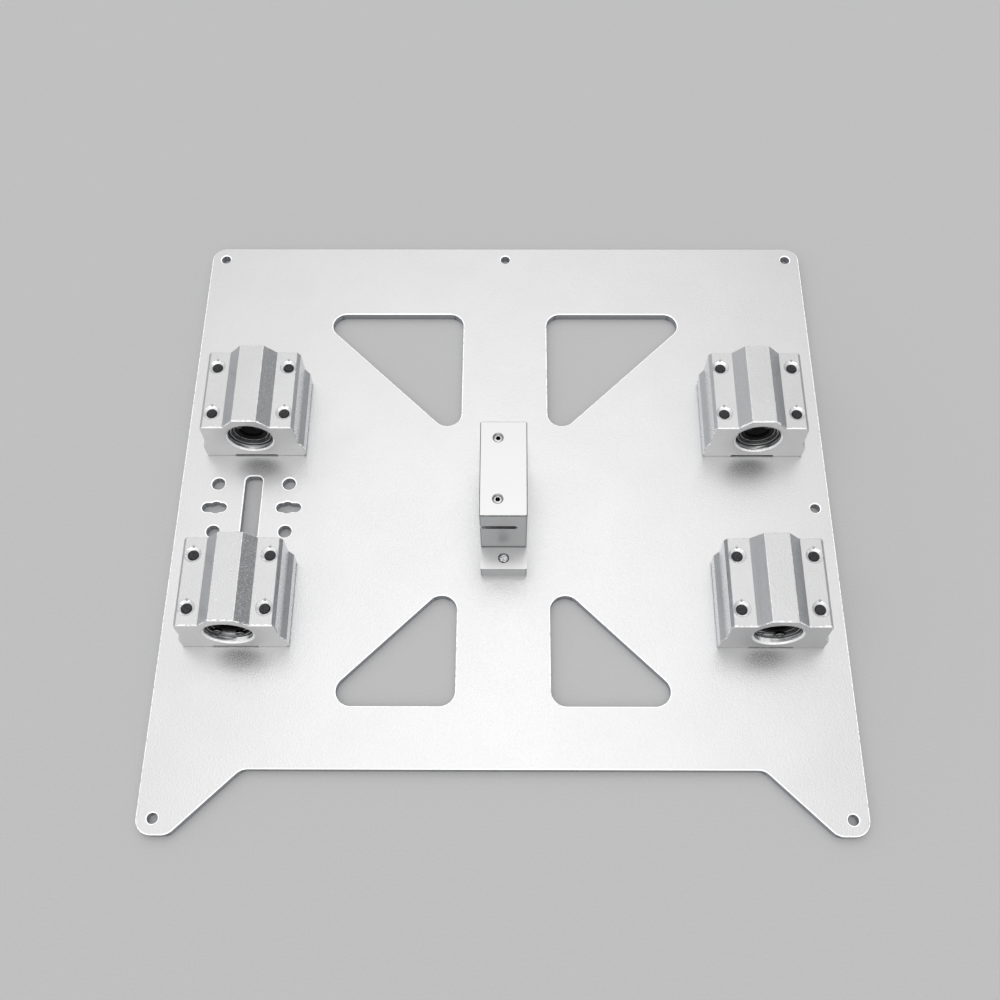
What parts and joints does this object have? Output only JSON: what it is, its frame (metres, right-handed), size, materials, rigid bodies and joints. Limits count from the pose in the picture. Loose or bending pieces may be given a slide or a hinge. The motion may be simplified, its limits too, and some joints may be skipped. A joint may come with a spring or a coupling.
{
  "type": "y carriage plate",
  "caption": "Flat aluminium carriage plate with linear bearing blocks for two parallel rods, a belt holder, triangular windows and a spare hole pattern.",
  "frame": {"origin": "centre of the bed hole square, on the plate's underside", "axes": "+Z from the plate to the bearing blocks, +Y along the rods to the rear, away from the two prongs, +X to the right"},
  "size_m": [0.219, 0.219, 0.03],
  "materials": {
    "plate_aluminium": "bead blasted, clear anodised satin",
    "block_aluminium": "extruded and bead blasted, machined ends",
    "holder_aluminium": "milled and bead blasted",
    "bearing_steel": "hardened and ground",
    "ball_steel": "polished",
    "retainer_plastic": "moulded",
    "seal_rubber": "moulded, slightly glossy",
    "ring_steel": "spring steel, phosphated dark",
    "black_screw_steel": "black oxide",
    "bright_screw_steel": "zinc plated, bright"
  },
  "bodies": {
    "root": {"carriage_plate": "plate_aluminium", "belt_holder": "holder_aluminium", "belt_clamp_screws": "bright_screw_steel", "belt_holder_screws": "bright_screw_steel", "rear_left_block_housing": "block_aluminium", "rear_left_bearing_sleeve": "bearing_steel", "rear_left_ball_retainer": "retainer_plastic", "rear_left_bearing_balls": "ball_steel", "rear_left_bearing_seals": "seal_rubber", "rear_left_retaining_rings": "ring_steel", "rear_left_block_screws": "black_screw_steel", "rear_right_block_housing": "block_aluminium", "rear_right_bearing_sleeve": "bearing_steel", "rear_right_ball_retainer": "retainer_plastic", "rear_right_bearing_balls": "ball_steel", "rear_right_bearing_seals": "seal_rubber", "rear_right_retaining_rings": "ring_steel", "rear_right_block_screws": "black_screw_steel", "front_left_block_housing": "block_aluminium", "front_left_bearing_sleeve": "bearing_steel", "front_left_ball_retainer": "retainer_plastic", "front_left_bearing_balls": "ball_steel", "front_left_bearing_seals": "seal_rubber", "front_left_retaining_rings": "ring_steel", "front_left_block_screws": "black_screw_steel", "front_right_block_housing": "block_aluminium", "front_right_bearing_sleeve": "bearing_steel", "front_right_ball_retainer": "retainer_plastic", "front_right_bearing_balls": "ball_steel", "front_right_bearing_seals": "seal_rubber", "front_right_retaining_rings": "ring_steel", "front_right_block_screws": "black_screw_steel"}
  },
  "joints": []
}
